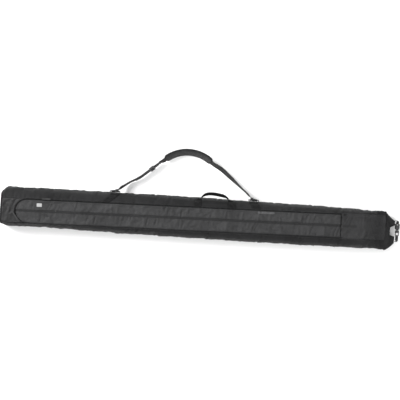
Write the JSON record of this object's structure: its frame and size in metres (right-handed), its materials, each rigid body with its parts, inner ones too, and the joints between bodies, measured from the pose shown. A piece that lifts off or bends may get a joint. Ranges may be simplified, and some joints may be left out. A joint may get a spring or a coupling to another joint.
{
  "type": "ski bag",
  "caption": "Long padded ski bag with a zipped front flap, shoulder strap with sliding pad, carry handle and a rolled, buckled mouth.",
  "frame": {"origin": "centre of the flat back face that the bag lies on", "axes": "+X along the bag from the tail to the rolled mouth, +Y towards the shoulder strap, +Z out of the front"},
  "size_m": [1.8437, 0.4134, 0.1109],
  "materials": {
    "shell_fabric": "coated polyester weave, satin sheen",
    "gusset_fabric": "coated polyester weave, dull",
    "webbing": "ribbed woven webbing",
    "trim_tape": "narrow woven tape and piping",
    "foam": "closed-cell foam",
    "lining_fabric": "plain lining cloth",
    "pad_mesh": "spacer mesh and padded cloth",
    "hard_plastic": "moulded acetal, fine grain",
    "zip_plastic": "nylon coil",
    "slider_metal": "black enamel on die casting",
    "badge_rubber": "soft moulded patch",
    "label_print": "tone-on-tone woven label"
  },
  "bodies": {
    "bag": {"back_panel": "shell_fabric", "upper_gusset": "gusset_fabric", "lower_gusset": "gusset_fabric", "end_panel": "shell_fabric", "tail_panel": "shell_fabric", "tip_panel": "shell_fabric", "back_foam": "foam", "upper_foam": "foam", "lower_foam": "foam", "end_foam": "foam", "lining_lower": "lining_fabric", "lining_back": "lining_fabric", "lining_upper": "lining_fabric", "lower_piping": "trim_tape", "tip_strip": "trim_tape", "zip_tape_bag": "trim_tape", "zip_coil_bag": "zip_plastic", "zip_end_tab": "trim_tape", "roll_top": "shell_fabric", "roll_stiffener": "hard_plastic", "anchor_tab_left": "webbing", "anchor_ring_left": "hard_plastic", "anchor_tab_right": "webbing", "anchor_ring_right": "hard_plastic", "handle_foot_left": "webbing", "handle_foot_right": "webbing", "web_tab_upper": "webbing", "web_tab_lower": "webbing", "buckle_female": "hard_plastic"},
    "flap": {"flap_upper_band": "shell_fabric", "flap_lower_band": "shell_fabric", "flap_strip": "trim_tape", "flap_foam": "foam", "flap_lining": "lining_fabric", "zip_tape_flap": "trim_tape", "zip_coil_flap": "zip_plastic", "badge": "badge_rubber", "label_tab": "label_print"},
    "main_slider": {"main_slider": "slider_metal"},
    "main_pull": {"main_pull": "slider_metal"},
    "corner_slider": {"corner_slider": "slider_metal"},
    "corner_pull": {"corner_pull": "slider_metal"},
    "strap": {"strap_web": "webbing", "strap_tail": "webbing", "strap_loop_left": "webbing", "strap_loop_right": "webbing"},
    "glide": {"triglide": "hard_plastic"},
    "pad": {"pad_face": "pad_mesh", "pad_back": "pad_mesh", "pad_edges": "pad_mesh"},
    "handle": {"carry_handle": "webbing"},
    "buckle_male": {"buckle_male": "hard_plastic"},
    "prong_a": {"buckle_prong_a": "hard_plastic"},
    "prong_b": {"buckle_prong_b": "hard_plastic"}
  },
  "joints": [
    {"name": "flap_hinge", "type": "hinge", "parent": "bag", "child": "flap", "pos_m": [0.00101, -0.05799, 0.105], "axis": [0.9998, 0.0175, 0], "range_deg": [0, 160]},
    {"name": "main_slider_travel", "type": "slide", "parent": "bag", "child": "main_slider", "axis": [0.9998, 0.0175, 0], "range_m": [0, 1.35]},
    {"name": "main_pull_tilt", "type": "hinge", "parent": "main_slider", "child": "main_pull", "pos_m": [-0.72734, 0.04196, 0.109], "axis": [0.0175, -0.9998, 0], "range_deg": [0, 150]},
    {"name": "corner_slider_travel", "type": "hinge", "parent": "bag", "child": "corner_slider", "pos_m": [-0.79981, -0.01796, 0.106], "axis": [0, 0, -1], "range_deg": [0, 110]},
    {"name": "corner_pull_tilt", "type": "hinge", "parent": "corner_slider", "child": "corner_pull", "pos_m": [-0.83672, -0.06354, 0.109], "axis": [0.788, 0.6157, 0], "range_deg": [0, 150]},
    {"name": "strap_swing", "type": "hinge", "parent": "bag", "child": "strap", "pos_m": [0, 0.0995, 0.058], "axis": [1, 0, 0], "range_deg": [0, 110]},
    {"name": "triglide_slide", "type": "slide", "parent": "strap", "child": "glide", "axis": [0.7644, 0.6448, 0], "range_m": [-0.03, 0.03]},
    {"name": "pad_slide", "type": "hinge", "parent": "strap", "child": "pad", "pos_m": [-0.076, 0.138, 0.0285], "axis": [0, 0, 1], "range_deg": [-4.5, 4.5]},
    {"name": "handle_swing", "type": "hinge", "parent": "bag", "child": "handle", "pos_m": [0.057, 0.096, 0.084], "axis": [1, 0, 0], "range_deg": [0, 50]},
    {"name": "buckle_release", "type": "slide", "parent": "bag", "child": "buckle_male", "axis": [0, -1, 0], "range_m": [0, 0.021], "deforming": ["web_tab_lower"]},
    {"name": "prong_a_squeeze", "type": "hinge", "parent": "buckle_male", "child": "prong_a", "pos_m": [0.91244, 0.0032, 0.03055], "axis": [0.7071, 0, 0.7071], "range_deg": [0, 8], "stiffness_Nm_per_rad": 0.2},
    {"name": "prong_b_squeeze", "type": "hinge", "parent": "buckle_male", "child": "prong_b", "pos_m": [0.90155, 0.0032, 0.04145], "axis": [-0.7071, 0, -0.7071], "range_deg": [0, 8], "stiffness_Nm_per_rad": 0.2}
  ],
  "couplings": [
    {"joint": "main_slider_travel", "follows": "flap_hinge", "m_per_rad": 0.4831},
    {"joint": "prong_b_squeeze", "follows": "prong_a_squeeze", "ratio": 1}
  ]
}
